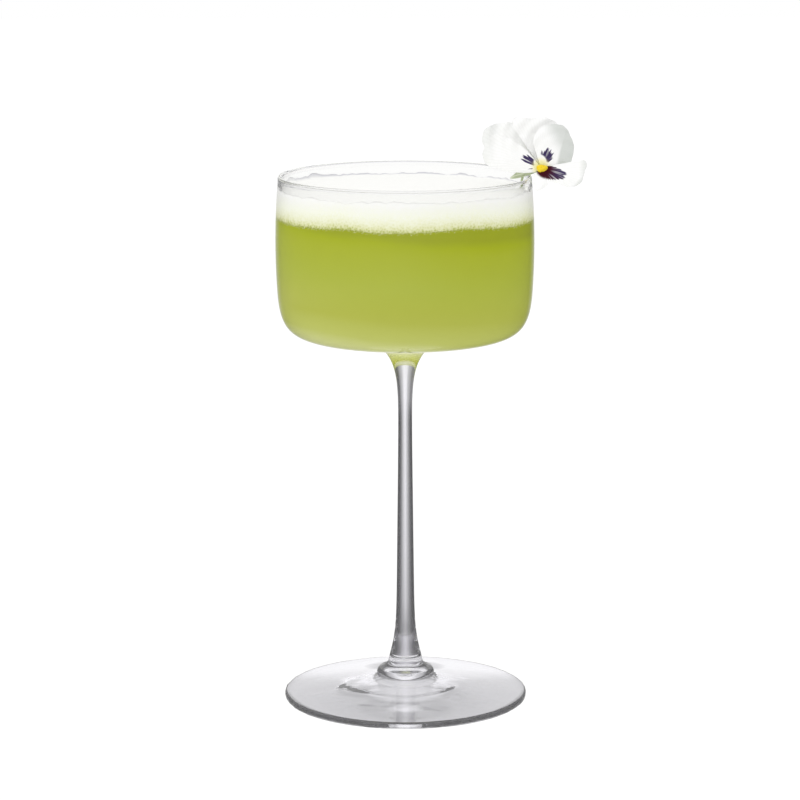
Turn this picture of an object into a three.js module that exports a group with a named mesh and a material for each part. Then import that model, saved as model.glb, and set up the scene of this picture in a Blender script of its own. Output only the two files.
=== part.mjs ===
// A square-bowled cocktail glass on a tall drawn stem, served full: a blown bowl,
// a drawn stem and a spun foot, a cloudy drink under a head of foam, and a viola
// laid over the rim by its stalk. Millimetres, +Z up. The origin is where the
// glass's axis meets the table, and the viola sits on the rim at +X.
import * as THREE from "three";

// Foot: a thin disc, hollow below, that stands on a narrow ring and carries the stem on a button
const FOOT_RADIUS = 39;
const FOOT_EDGE = 2.2;
const EDGE_ROUND = 0.7;
const REST_RING_WIDTH = 1.6;
const HOLLOW_DEPTH = 3.6;
const DOME_RADIUS = 10;
const DOME_HEIGHT = 5.6;
const PLATE_TOP = 7.1;
const PLATE_SAG = 1;
const BUTTON_RADIUS = 9.2;
const BUTTON_SWELL = 0.3;
const BUTTON_ROUND = 1.4;
const BUTTON_HOLLOW = 0.2;
const BUTTON_HEIGHT = 11.6;

// Stem: a tapered shaft that flares into the bowl above and the button below
const STEM_LENGTH = 106.6;
const SHAFT_RADIUS_LOW = 3.1;
const SHAFT_RADIUS_HIGH = 1.85;
const STEM_END_RADIUS = 5.5;
const STEM_HEAD_RADIUS = 13.2;
const END_FLARE = 7.4;
const END_FLARE_POWER = 1.4;
const HEAD_FLARE = 5.2;

// Bowl: flat below, square at the shoulder, drawn in a little at the lip
const BOWL_HEIGHT = 51.8;
const RIM_RADIUS = 40;
const BELLY_RADIUS = 41.05;
const BELLY_BELOW_RIM = 22;
const CORNER_REACH = 14.5;
const CORNER_RISE = 15;
const CORNER_FULLNESS = 0.75;
const LIP_WALL = 1.1;
const BELLY_WALL = 1.4;
const FLOOR = 2.2;

// Drink and foam
const FOAM_BELOW_RIM = 4.4;
const FOAM_DEPTH = 9.8;
const FOAM_EDGE_DROP = 0.6;

// Viola, measured in its own face: the face looks along local +Z, up is local +Y
const FACE_OUT = 2.8;
const FACE_UP = 2.75;
const FACE_FORWARD = 3;
const FACE_TILT = 8;
const PETAL_REACH = 20;
const PETAL_THICKNESS = 0.45;
const SEPAL_LENGTH = 9.4;
const SEPAL_WIDTH = 1.7;
const SEPAL_THICKNESS = 0.5;
const SEPAL_CURL = -12;
const SEPAL_CUP = 0.3;
const SEPAL_CLAW_HALF = 0.5;
const SEPAL_TIP_HALF = 0.2;
const RECEPTACLE_RADIUS = 1;
const RECEPTACLE_LENGTH = 5;
const RECEPTACLE_FRONT = 0.2;
const EYE_RADIUS = 1.4;
const EYE_HEIGHT = 1.3;
const STALK_RADIUS = 0.55;
const STALK_INSIDE = 2.6;

// Gap between pieces that touch along curved or tilted faces
const GAP = 0.3;

// Mesh fineness
const ROUND_SEGMENTS = 48;
const STEM_SEGMENTS = 24;
const SMALL_SEGMENTS = 12;
const CURVE_STEPS = 6;
const FOOT_STEPS = 4;
const SHAFT_STEPS = 22;
const PETAL_STEPS = 6;
const MARGIN_STEPS = 2;
const SEPAL_STEPS = 6;
const SEPAL_HALF_STEPS = 1;

// Levels that follow from the sizes above
const STEM_TOP = BUTTON_HEIGHT + STEM_LENGTH;
const RIM_TOP = STEM_TOP + BOWL_HEIGHT;
const FOAM_TOP = RIM_TOP - FOAM_BELOW_RIM;
const DRINK_TOP = FOAM_TOP - FOAM_DEPTH;

const CLEAR_GLASS = new THREE.MeshStandardMaterial({
  color: 0xf4f6f6,
  roughness: 0.03,
  metalness: 0,
  transparent: true,
  opacity: 0.3,
});
const DRINK_GREEN = new THREE.MeshStandardMaterial({ color: 0xa9b43a, roughness: 0.2, metalness: 0 });
const FOAM_WHITE = new THREE.MeshStandardMaterial({ color: 0xf6f7ef, roughness: 0.7, metalness: 0 });
const PETAL_WHITE = new THREE.MeshStandardMaterial({ color: 0xf7f7f4, roughness: 0.55, metalness: 0 });
const EYE_YELLOW = new THREE.MeshStandardMaterial({ color: 0xf4c418, roughness: 0.6, metalness: 0 });
const LEAF_GREEN = new THREE.MeshStandardMaterial({ color: 0x8da55a, roughness: 0.6, metalness: 0 });

const part = new THREE.Group();

function addMesh(parent, name, geometry, material) {
  const mesh = new THREE.Mesh(geometry, material.clone());
  mesh.name = name;
  parent.add(mesh);
  return mesh;
}

// Turns a profile of (radius, height) points about the Z axis.
function turned(profile, segments) {
  return new THREE.LatheGeometry(profile, segments).rotateX(Math.PI / 2);
}

function turnOf(degrees) {
  return THREE.MathUtils.degToRad(degrees);
}

function curvePoints(path) {
  return path.getPoints(CURVE_STEPS);
}

// Foot: domed hollow, flat rest ring, rounded edge, sagging top and swelling button
function footProfile() {
  const ringOuter = FOOT_RADIUS - EDGE_ROUND;
  const ringInner = ringOuter - REST_RING_WIDTH;
  const shoulderRadius = BUTTON_RADIUS - 2 * BUTTON_SWELL;
  const shoulderHeight = PLATE_TOP + BUTTON_ROUND;
  const outline = new THREE.Path();
  outline.moveTo(0, DOME_HEIGHT);
  outline.quadraticCurveTo(DOME_RADIUS / 2, DOME_HEIGHT, DOME_RADIUS, HOLLOW_DEPTH);
  outline.quadraticCurveTo((DOME_RADIUS + ringInner) / 2, (HOLLOW_DEPTH - PLATE_SAG) / 2, ringInner, 0);
  outline.lineTo(ringOuter, 0);
  outline.quadraticCurveTo(FOOT_RADIUS, 0, FOOT_RADIUS, EDGE_ROUND);
  outline.lineTo(FOOT_RADIUS, FOOT_EDGE - EDGE_ROUND);
  outline.quadraticCurveTo(FOOT_RADIUS, FOOT_EDGE, ringOuter, FOOT_EDGE);
  outline.quadraticCurveTo(
    (ringOuter + BUTTON_RADIUS) / 2,
    (FOOT_EDGE + PLATE_TOP) / 2 - PLATE_SAG,
    BUTTON_RADIUS,
    PLATE_TOP,
  );
  outline.quadraticCurveTo(
    BUTTON_RADIUS + BUTTON_SWELL,
    PLATE_TOP + BUTTON_ROUND / 2,
    shoulderRadius,
    shoulderHeight,
  );
  outline.quadraticCurveTo(
    (shoulderRadius + STEM_END_RADIUS) / 2 - BUTTON_HOLLOW,
    (shoulderHeight + BUTTON_HEIGHT) / 2 - BUTTON_HOLLOW,
    STEM_END_RADIUS,
    BUTTON_HEIGHT,
  );
  outline.lineTo(0, BUTTON_HEIGHT);
  return outline.getPoints(FOOT_STEPS);
}

// Stem: a straight taper with an eased flare at its foot and a longer one at its head
function stemRadius(height) {
  const share = (height - BUTTON_HEIGHT) / STEM_LENGTH;
  const shaft = THREE.MathUtils.lerp(SHAFT_RADIUS_LOW, SHAFT_RADIUS_HIGH, share);
  const fromEnd = (height - BUTTON_HEIGHT) / END_FLARE;
  const fromHead = (STEM_TOP - height) / HEAD_FLARE;
  const endFlare = (STEM_END_RADIUS - SHAFT_RADIUS_LOW) * Math.exp(-(fromEnd ** END_FLARE_POWER));
  const headFlare = (STEM_HEAD_RADIUS - SHAFT_RADIUS_HIGH) * Math.exp(-fromHead);
  return shaft + endFlare + headFlare;
}

function stemProfile() {
  const profile = [new THREE.Vector2(0, BUTTON_HEIGHT)];
  for (let step = 0; step <= SHAFT_STEPS; step++) {
    // Steps crowd together at the flared ends.
    const share = (1 - Math.cos((Math.PI * step) / SHAFT_STEPS)) / 2;
    const height = BUTTON_HEIGHT + share * STEM_LENGTH;
    profile.push(new THREE.Vector2(stemRadius(height), height));
  }
  profile.push(new THREE.Vector2(0, STEM_TOP));
  return profile;
}

// Bowl wall: how far a wall of this belly and rim radius lies from the axis at a height
function wallRadius(belly, rim, height) {
  const share = (height - (RIM_TOP - BELLY_BELOW_RIM)) / BELLY_BELOW_RIM;
  return belly - (belly - rim) * share ** 2;
}

// One face of the bowl, from the axis along its floor, round the corner and up the wall.
// The corner's handles lie along the floor and along the wall, so both meet it smoothly.
function bowlFace({ belly, rim, floor, top }) {
  const cornerTop = floor + CORNER_RISE;
  const cornerRadius = wallRadius(belly, rim, cornerTop);
  const flatRadius = cornerRadius - CORNER_REACH;
  const handleHeight = cornerTop - CORNER_FULLNESS * CORNER_RISE;
  const wallLean = (2 * (belly - rim) * (RIM_TOP - BELLY_BELOW_RIM - cornerTop)) / BELLY_BELOW_RIM ** 2;
  const corner = new THREE.Path();
  corner.moveTo(flatRadius, floor);
  corner.bezierCurveTo(
    flatRadius + CORNER_FULLNESS * CORNER_REACH,
    floor,
    cornerRadius - wallLean * (cornerTop - handleHeight),
    handleHeight,
    cornerRadius,
    cornerTop,
  );
  const face = [new THREE.Vector2(0, floor), ...curvePoints(corner)];
  for (let step = 1; step <= CURVE_STEPS; step++) {
    const height = THREE.MathUtils.lerp(cornerTop, top, step / CURVE_STEPS);
    face.push(new THREE.Vector2(wallRadius(belly, rim, height), height));
  }
  return face;
}

function bowlProfile() {
  const lipRadius = LIP_WALL / 2;
  const lipSeat = RIM_TOP - lipRadius;
  const outside = bowlFace({ belly: BELLY_RADIUS, rim: RIM_RADIUS, floor: STEM_TOP, top: lipSeat });
  const inside = bowlFace(insideOfBowl(0, lipSeat));
  // The fire-polished lip is a half round from the outer wall to the inner one.
  const outer = outside.at(-1);
  const inner = inside.at(-1);
  const lip = new THREE.Path();
  lip.absellipse(
    (outer.x + inner.x) / 2,
    lipSeat,
    (outer.x - inner.x) / 2,
    lipRadius,
    0,
    Math.PI,
    false,
    0,
  );
  return [...outside, ...curvePoints(lip).slice(1, -1), ...inside.reverse()];
}

// The bowl's inner face, or a face drawn in from it by a gap
function insideOfBowl(gap, top) {
  return {
    belly: BELLY_RADIUS - BELLY_WALL - gap,
    rim: RIM_RADIUS - LIP_WALL - gap,
    floor: STEM_TOP + FLOOR + gap,
    top,
  };
}

function drinkProfile() {
  return [...bowlFace(insideOfBowl(GAP, DRINK_TOP)), new THREE.Vector2(0, DRINK_TOP)];
}

// Foam: a disc on the drink, rounded off where its top meets the wall
function foamProfile() {
  const { belly, rim } = insideOfBowl(GAP, FOAM_TOP);
  const edgeSeat = FOAM_TOP - FOAM_EDGE_DROP;
  const profile = [new THREE.Vector2(0, DRINK_TOP)];
  for (let step = 0; step <= CURVE_STEPS / 2; step++) {
    const height = THREE.MathUtils.lerp(DRINK_TOP, edgeSeat, (2 * step) / CURVE_STEPS);
    profile.push(new THREE.Vector2(wallRadius(belly, rim, height), height));
  }
  profile.push(new THREE.Vector2(wallRadius(belly, rim, FOAM_TOP) - FOAM_EDGE_DROP, FOAM_TOP));
  profile.push(new THREE.Vector2(0, FOAM_TOP));
  return profile;
}

// A thin closed sheet. pointAt gives a corner from its row, its column and its side: -1 is the
// back and 1 the front. Rows run outwards, and columns from left to right seen from the front.
function sheetGeometry(rowSteps, columnSteps, pointAt) {
  const rows = rowSteps + 1;
  const columns = columnSteps + 1;
  const positions = [];
  for (const side of [-1, 1]) {
    for (let row = 0; row < rows; row++) {
      for (let column = 0; column < columns; column++) {
        positions.push(...pointAt(row, column, side).toArray());
      }
    }
  }
  const back = (row, column) => row * columns + column;
  const front = (row, column) => rows * columns + back(row, column);
  const faces = [];
  const quad = (a, b, c, d) => faces.push(a, b, c, a, c, d);
  for (let row = 0; row < rowSteps; row++) {
    for (let column = 0; column < columnSteps; column++) {
      quad(front(row, column), front(row, column + 1), front(row + 1, column + 1), front(row + 1, column));
      quad(back(row, column), back(row + 1, column), back(row + 1, column + 1), back(row, column + 1));
    }
    quad(back(row, 0), front(row, 0), front(row + 1, 0), back(row + 1, 0));
    quad(
      back(row, columnSteps),
      back(row + 1, columnSteps),
      front(row + 1, columnSteps),
      front(row, columnSteps),
    );
  }
  for (let column = 0; column < columnSteps; column++) {
    quad(back(0, column), back(0, column + 1), front(0, column + 1), front(0, column));
    quad(
      back(rowSteps, column),
      front(rowSteps, column),
      front(rowSteps, column + 1),
      back(rowSteps, column + 1),
    );
  }
  const geometry = new THREE.BufferGeometry();
  geometry.setAttribute("position", new THREE.Float32BufferAttribute(positions, 3));
  geometry.setIndex(faces);
  geometry.computeVertexNormals();
  return geometry;
}

// The petals overlap like a viola's: two at the back, two at the sides, the lip in front. Each
// spreads from its claw to its margin, which lists angles round the eye, clockwise, with the
// share of the longest petal's reach there. tips is the way it leans, slope how steeply it comes
// forward that way and bend how its slope has changed at half the full reach. layer is where
// along the receptacle its claw sits, one petal and a gap apart.
const LAYER = PETAL_THICKNESS + 1.3 * GAP;
const CLAW = RECEPTACLE_RADIUS + GAP;
const PETALS = {
  petal_upper_left: {
    margin: [[166, 0.75], [158, 0.975], [150, 1.05], [142, 1.04], [132, 0.96], [122, 0.84], [112, 0.65]],
    tips: 140, slope: -0.2, bend: -0.06, layer: -3 * LAYER, claw: CLAW,
  },
  petal_upper_top: {
    margin: [[124, 0.775], [119, 0.88], [110, 0.83], [98, 0.79], [84, 0.79], [70, 0.75], [58, 0.6]],
    tips: 95, slope: -0.12, bend: 0.04, layer: -2 * LAYER, claw: CLAW,
  },
  petal_side_left: {
    margin: [
      [220, 0.15], [207, 0.22], [196, 0.33], [189, 0.475], [183, 0.675], [177, 0.88], [171, 0.965],
      [164, 1], [154, 0.98], [145, 0.89], [137, 0.65], [129, 0.35],
    ],
    tips: 165, slope: 0.04, bend: -0.08, layer: -LAYER, claw: CLAW,
  },
  petal_side_right: {
    margin: [
      [108, 0.4], [98, 0.55], [84, 0.67], [68, 0.73], [55, 0.73], [42, 0.665], [29, 0.6], [17, 0.525],
      [4, 0.44],
    ],
    tips: 20, slope: 0.25, bend: -0.6, layer: -LAYER, claw: CLAW,
  },
  // The lip starts clear of the eye, which stands in front of the receptacle.
  petal_lip: {
    margin: [
      [10, 0.67], [5, 0.71], [-8, 0.685], [-24, 0.645], [-35, 0.55], [-48, 0.33], [-62, 0.28], [-84, 0.33],
      [-102, 0.38], [-116, 0.3], [-134, 0.16],
    ],
    tips: -70, slope: 0.75, bend: -0.4, layer: 0, claw: EYE_RADIUS + GAP,
  },
};

function petalGeometry(petal) {
  const marks = petal.margin.map(([angle, share]) => new THREE.Vector2(angle, share * PETAL_REACH));
  const columnSteps = MARGIN_STEPS * (marks.length - 1);
  const margin = new THREE.SplineCurve(marks).getPoints(columnSteps);
  return sheetGeometry(PETAL_STEPS, columnSteps, (row, column, side) => {
    const angle = turnOf(margin[column].x);
    const away = THREE.MathUtils.lerp(petal.claw, margin[column].y, row / PETAL_STEPS);
    const ahead = away * Math.cos(angle - turnOf(petal.tips));
    const rise = petal.layer + petal.slope * ahead + (petal.bend * ahead ** 2) / PETAL_REACH;
    const height = rise + (side * PETAL_THICKNESS) / 2;
    return new THREE.Vector3(away * Math.cos(angle), away * Math.sin(angle), height);
  });
}

// The sepals stand in a whorl behind the petals: pointed leaves that curl back and cup a little.
// along is the way a sepal points across the face and claw, where it isn't the same, the angle
// round the receptacle at which it starts. lean is how far it tips forward there and roll how far
// it turns about its own length. The first stands on edge over the lip, and the lower ones fold
// back along the stalk.
const SEPAL_LAYER = -3 * LAYER - PETAL_THICKNESS / 2 - GAP - SEPAL_THICKNESS;
const SEPALS = {
  sepal_1: { along: 185, claw: 218, lean: -20, roll: 70 },
  sepal_2: { along: 110, lean: -20, roll: 0 },
  sepal_3: { along: 44, lean: -24, roll: 0 },
  sepal_4: { along: -20, lean: -48, roll: 0 },
  sepal_5: { along: -82, lean: -64, roll: 0 },
};

function sepalGeometry() {
  const bendRadius = SEPAL_LENGTH / turnOf(SEPAL_CURL);
  return sheetGeometry(SEPAL_STEPS, 2 * SEPAL_HALF_STEPS, (row, column, side) => {
    const share = row / SEPAL_STEPS;
    const turn = turnOf(SEPAL_CURL) * share;
    const swell = (SEPAL_WIDTH / 2) * Math.sin(Math.PI * share);
    const halfWidth = swell + THREE.MathUtils.lerp(SEPAL_CLAW_HALF, SEPAL_TIP_HALF, share);
    const across = (column / SEPAL_HALF_STEPS - 1) * halfWidth;
    const lift = SEPAL_CUP * (across / (SEPAL_WIDTH / 2)) ** 2 + (side * SEPAL_THICKNESS) / 2;
    const radius = bendRadius - lift;
    return new THREE.Vector3(across, radius * Math.sin(turn), bendRadius - radius * Math.cos(turn));
  });
}

// Places a sepal round the receptacle: its claw clears the receptacle by the gap.
function addSepal(flower, name, { along, claw = along, lean, roll }) {
  const mesh = addMesh(flower, name, sepalGeometry(), LEAF_GREEN);
  const start = turnOf(claw);
  const reach = CLAW + (SEPAL_THICKNESS / 2) * Math.abs(Math.sin(turnOf(lean)));
  mesh.rotation.set(turnOf(lean), turnOf(roll), turnOf(along) - Math.PI / 2, "ZXY");
  mesh.position.set(reach * Math.cos(start), reach * Math.sin(start), SEPAL_LAYER);
}

// Receptacle: the small boss that carries the petals, with the eye on its front
function receptacleProfile() {
  const back = RECEPTACLE_FRONT - RECEPTACLE_LENGTH;
  const neck = RECEPTACLE_RADIUS * 0.8;
  return [
    new THREE.Vector2(0, back),
    new THREE.Vector2(neck, back),
    new THREE.Vector2(RECEPTACLE_RADIUS, back + neck),
    new THREE.Vector2(RECEPTACLE_RADIUS, RECEPTACLE_FRONT),
    new THREE.Vector2(0, RECEPTACLE_FRONT),
  ];
}

function eyeProfile() {
  const seat = RECEPTACLE_FRONT + GAP;
  const dome = new THREE.Path();
  dome.absellipse(0, seat, EYE_RADIUS, EYE_HEIGHT, 0, Math.PI / 2, false, 0);
  const points = curvePoints(dome);
  points.at(-1).x = 0;
  return [new THREE.Vector2(0, seat), ...points];
}

// Stalk: leaves the receptacle's back, passes over the lip and comes down on the foam.
function stalkGeometry(flower) {
  const back = RECEPTACLE_FRONT - RECEPTACLE_LENGTH - GAP;
  const start = flower.localToWorld(new THREE.Vector3(0, 0, back));
  const leaving = flower.localToWorld(new THREE.Vector3(0, 0, back - 2 * STALK_RADIUS));
  const behind = leaving.y + 2 * STALK_RADIUS;
  const overLip = RIM_TOP + GAP + STALK_RADIUS;
  const lipRadius = RIM_RADIUS - LIP_WALL / 2;
  const lipX = Math.sqrt(lipRadius ** 2 - behind ** 2);
  const endHeight = FOAM_TOP + 1.5 * GAP;
  const route = new THREE.CatmullRomCurve3([
    start,
    leaving,
    new THREE.Vector3(lipX + LIP_WALL, behind, overLip + GAP),
    new THREE.Vector3(lipX - LIP_WALL, behind, overLip),
    new THREE.Vector3(lipX - STALK_INSIDE, behind, endHeight),
  ]);
  const section = new THREE.Shape();
  section.absarc(0, 0, STALK_RADIUS, 0, 2 * Math.PI, false);
  return new THREE.ExtrudeGeometry(section, {
    steps: 2 * CURVE_STEPS,
    curveSegments: SMALL_SEGMENTS / 3,
    bevelEnabled: false,
    extrudePath: route,
  });
}

// The glass and what it holds
addMesh(part, "foot", turned(footProfile(), ROUND_SEGMENTS), CLEAR_GLASS);
addMesh(part, "stem", turned(stemProfile(), STEM_SEGMENTS), CLEAR_GLASS);
addMesh(part, "bowl", turned(bowlProfile(), ROUND_SEGMENTS), CLEAR_GLASS);
addMesh(part, "drink", turned(drinkProfile(), ROUND_SEGMENTS), DRINK_GREEN);
addMesh(part, "foam_head", turned(foamProfile(), ROUND_SEGMENTS), FOAM_WHITE);

// The viola on the rim
const flower = new THREE.Group();
flower.position.set(RIM_RADIUS + FACE_OUT, -FACE_FORWARD, RIM_TOP + FACE_UP);
flower.rotation.x = Math.PI / 2 - turnOf(FACE_TILT);
part.add(flower);
part.updateMatrixWorld(true);
for (const [name, petal] of Object.entries(PETALS)) {
  addMesh(flower, name, petalGeometry(petal), PETAL_WHITE);
}
for (const [name, sepal] of Object.entries(SEPALS)) {
  addSepal(flower, name, sepal);
}
addMesh(flower, "receptacle", turned(receptacleProfile(), SMALL_SEGMENTS), LEAF_GREEN);
addMesh(flower, "flower_eye", turned(eyeProfile(), SMALL_SEGMENTS), EYE_YELLOW);
addMesh(part, "stalk", stalkGeometry(flower), LEAF_GREEN);

export default part;
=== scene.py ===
import math
import bpy
from mathutils import Matrix, Vector, noise


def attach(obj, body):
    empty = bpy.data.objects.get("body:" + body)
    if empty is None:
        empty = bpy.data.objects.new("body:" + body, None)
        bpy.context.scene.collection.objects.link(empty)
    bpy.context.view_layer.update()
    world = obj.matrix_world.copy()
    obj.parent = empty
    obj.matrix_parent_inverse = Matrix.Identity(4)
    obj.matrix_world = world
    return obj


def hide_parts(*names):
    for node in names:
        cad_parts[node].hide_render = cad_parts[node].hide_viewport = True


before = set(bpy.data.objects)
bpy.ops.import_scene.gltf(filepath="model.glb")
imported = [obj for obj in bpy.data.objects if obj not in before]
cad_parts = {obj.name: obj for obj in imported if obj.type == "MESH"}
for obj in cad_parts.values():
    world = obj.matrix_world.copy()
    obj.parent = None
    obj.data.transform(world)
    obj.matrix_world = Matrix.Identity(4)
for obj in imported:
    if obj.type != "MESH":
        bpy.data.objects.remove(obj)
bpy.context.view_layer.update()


# Foot
# A thin disc of soda-lime glass, spun open while hot and fire polished. It stands on a
# narrow flat ring, is hollow below, and rises to a button that is fused to the stem.

MM = 0.001
TINY = 1e-6
FOOT_RADIUS = 39.0
FOOT_EDGE = 2.2
EDGE_ROUND = 0.7
REST_RING_WIDTH = 1.6
DOME_HEIGHT = 6.0
DOME_RADIUS = 10.0
HOLLOW_DEPTH = 3.6
PLATE_TOP = 7.1
PLATE_SAG = 1.0
BUTTON_RADIUS = 9.2
BUTTON_SWELL = 0.3
BUTTON_ROUND = 2.4
BUTTON_HOLLOW = 0.5
BUTTON_HEIGHT = 11.6
STEM_END_RADIUS = 5.5
FOOT_SEGMENTS = 300
CRISP_ANGLE = math.radians(40)


def linear(hex_code):
    """A colour written as sRGB hex, turned to the linear values that shaders take."""
    shares = [int(hex_code[i : i + 2], 16) / 255 for i in (0, 2, 4)]
    return [s / 12.92 if s <= 0.04045 else ((s + 0.055) / 1.055) ** 2.4 for s in shares] + [1.0]


def add_node(tree, kind, inputs=None, stops=(), **settings):
    """Adds a node, sets it, fills its inputs with values or with other nodes' outputs, and
    puts a colour ramp's stops on it."""
    made = tree.nodes.new("ShaderNode" + kind)
    for name, value in settings.items():
        setattr(made, name, value)
    for socket, value in (inputs or {}).items():
        if isinstance(value, bpy.types.NodeSocket):
            tree.links.new(value, made.inputs[socket])
        else:
            made.inputs[socket].default_value = value
    if stops:
        marks = made.color_ramp.elements
        marks.remove(marks[-1])
        marks[0].position = stops[0][0]
        for position, _ in stops[1:]:
            marks.new(position)
        for mark, (_, colour) in zip(marks, stops):
            mark.color = colour
    return made


def new_material(name):
    made = bpy.data.materials.new(name)
    made.use_nodes = True
    made.node_tree.nodes.clear()
    return made, made.node_tree


def curve(held, steps):
    """Points of a curve from the first held point to the last, drawn towards those between."""
    order = len(held) - 1
    points = []
    for step in range(steps + 1):
        t = step / steps
        weights = [math.comb(order, k) * t**k * (1 - t) ** (order - k) for k in range(order + 1)]
        points.append(tuple(sum(w * p[axis] for w, p in zip(weights, held)) for axis in (0, 1)))
    return points


def hump(value, middle, half):
    """A smooth bump: 1 at the middle, and almost nothing at twice half from it."""
    return math.exp(-(((value - middle) / half) ** 2))


def ring_point(reach, turn, height=0.0):
    """A point at this reach from the stem's axis, at an angle round it."""
    return (reach * math.cos(turn), reach * math.sin(turn), height)


def turns(count):
    """Angles that go once round in even steps."""
    return [2 * math.pi * k / count for k in range(count)]


def mesh_piece(name, corners, faces, materials, slots=None, smooth=True):
    """An object from corners in millimetres, whose faces run anticlockwise seen from outside."""
    mesh = bpy.data.meshes.new(name)
    mesh.from_pydata([Vector(c) * MM for c in corners], [], faces)
    for material in materials:
        mesh.materials.append(material)
    if slots:
        mesh.polygons.foreach_set("material_index", slots)
    mesh.polygons.foreach_set("use_smooth", [smooth] * len(faces))
    mesh.update()
    piece = bpy.data.objects.new(name, mesh)
    bpy.context.scene.collection.objects.link(piece)
    return piece


def turned(name, profile, segments, materials, spans=None, uneven=None):
    """A profile of (radius, height) points, from axis to axis, turned about the stem's axis.
    spans gives the material's number for the spans that don't have the first one. uneven gives
    how far a point of the profile stands out and up from the true round at an angle."""
    corners, faces, slots, rings = [], [], [], []
    for index, (radius, height) in enumerate(profile):
        if radius < TINY:
            rings.append([len(corners)])
            corners.append((0.0, 0.0, height))
            continue
        rings.append(range(len(corners), len(corners) + segments))
        for turn in turns(segments):
            out, up = uneven(index, turn) if uneven else (0.0, 0.0)
            corners.append(ring_point(radius + out, turn, height + up))
    for span, (low, high) in enumerate(zip(rings, rings[1:])):
        for k in range(segments):
            n = (k + 1) % segments
            if len(low) == 1:
                faces.append((low[0], high[n], high[k]))
            elif len(high) == 1:
                faces.append((low[k], low[n], high[0]))
            else:
                faces.append((low[k], low[n], high[n], high[k]))
            slots.append(spans.get(span, 0) if spans else 0)
    piece = mesh_piece(name, corners, faces, materials, slots)
    # Rings where the profile turns sharply keep a crisp edge.
    crisp = set()
    for k in range(1, len(profile) - 1):
        before = Vector(profile[k]) - Vector(profile[k - 1])
        after = Vector(profile[k + 1]) - Vector(profile[k])
        if before.length > TINY and after.length > TINY and before.angle(after) > CRISP_ANGLE:
            crisp.update(rings[k])
    for edge in piece.data.edges:
        a, b = edge.vertices
        level = abs(corners[a][2] - corners[b][2]) < TINY
        edge.use_edge_sharp = level and a in crisp and b in crisp
    return piece


def put(piece, node, body):
    """Moves a piece with its body and hides the CAD part of the node that it stands for."""
    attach(piece, body)
    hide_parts(node)
    return piece


def let_light_in(piece):
    """Clear glass neither shades nor tints what stands behind it."""
    piece.visible_shadow = False
    piece.visible_diffuse = False
    return piece


# Soda-lime glass, blown and fire polished: clear and colourless, with sharp reflections.
# The slow swell of a hand-blown wall, about 14 mm across, bends them a little.
def clear_glass(name, tone, bloom, haze_least, haze_most):
    """bloom is the share of light that fine wear on the surface scatters. The haze blurs what is
    seen through it, in patches about 6 mm across."""
    made, tree = new_material(name)
    place = add_node(tree, "TexCoord").outputs["Object"]
    swell = add_node(tree, "TexNoise", {"Vector": place, "Scale": 1 / (14 * MM), "Detail": 1.0})
    wave = add_node(tree, "Bump", {"Height": swell.outputs["Fac"], "Strength": 0.05, "Distance": 0.2 * MM})
    film = add_node(tree, "TexNoise", {"Vector": place, "Scale": 1 / (6 * MM), "Detail": 4.0})
    limits = {"From Min": 0.5, "From Max": 0.8, "To Min": haze_least, "To Max": haze_most}
    haze = add_node(tree, "MapRange", {"Value": film.outputs["Fac"]} | limits)
    surface = add_node(
        tree,
        "BsdfPrincipled",
        {
            "Base Color": linear(tone),
            "IOR": 1.52,
            "Transmission Weight": 1.0 - bloom,
            "Roughness": haze.outputs["Result"],
            "Normal": wave.outputs["Normal"],
        },
    )
    add_node(tree, "OutputMaterial", {"Surface": surface.outputs["BSDF"]})
    return made


blown_glass = clear_glass("blown_glass", "fefefd", 0.0, 0.0, 0.025)
worn_glass = clear_glass("worn_glass", "f9f8fd", 0.035, 0.0, 0.025)

# Where two pieces were fused hot the glass runs on unbroken, so the joint can't be seen.
fused_joint, tree = new_material("fused_joint")
clear = add_node(tree, "BsdfTransparent")
add_node(tree, "OutputMaterial", {"Surface": clear.outputs["BSDF"]})

ring_outer = FOOT_RADIUS - EDGE_ROUND
ring_inner = ring_outer - REST_RING_WIDTH
hollow_edge = (DOME_RADIUS, HOLLOW_DEPTH)
sag_below = ((DOME_RADIUS + ring_inner) / 2, HOLLOW_DEPTH / 2 - PLATE_SAG / 2)
foot_profile = curve([(0.0, DOME_HEIGHT), (DOME_RADIUS / 2, DOME_HEIGHT), hollow_edge], 20)
foot_profile += curve([hollow_edge, sag_below, (ring_inner, 0.0)], 60)[1:]
edge_start = len(foot_profile)
EDGE_STEPS = 8
for centre, start in ((EDGE_ROUND, -90), (FOOT_EDGE - EDGE_ROUND, 0)):
    for step in range(EDGE_STEPS + 1):
        turn = math.radians(start + 90 * step / EDGE_STEPS)
        foot_profile.append((ring_outer + EDGE_ROUND * math.cos(turn), centre + EDGE_ROUND * math.sin(turn)))
edge_end = len(foot_profile)
sag_above = ((ring_outer + BUTTON_RADIUS) / 2, (FOOT_EDGE + PLATE_TOP) / 2 - PLATE_SAG)
button_foot = (BUTTON_RADIUS, PLATE_TOP)
foot_profile += curve([(ring_outer, FOOT_EDGE), sag_above, button_foot], 40)[1:]
plate_end = len(foot_profile) - 1
# The button swells a little over the plate, then runs up in a hollow curve to the stem.
shoulder = (BUTTON_RADIUS - 2 * BUTTON_SWELL, PLATE_TOP + BUTTON_ROUND)
swelling = (BUTTON_RADIUS + BUTTON_SWELL, PLATE_TOP + BUTTON_ROUND / 2)
drawn_in = (
    (shoulder[0] + STEM_END_RADIUS) / 2 - BUTTON_HOLLOW,
    (shoulder[1] + BUTTON_HEIGHT) / 2 - BUTTON_HOLLOW,
)
foot_profile += curve([button_foot, swelling, shoulder], 10)[1:]
foot_profile += curve([shoulder, drawn_in, (STEM_END_RADIUS, BUTTON_HEIGHT)], 16)[1:]
foot_profile.append((0.0, BUTTON_HEIGHT))

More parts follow.
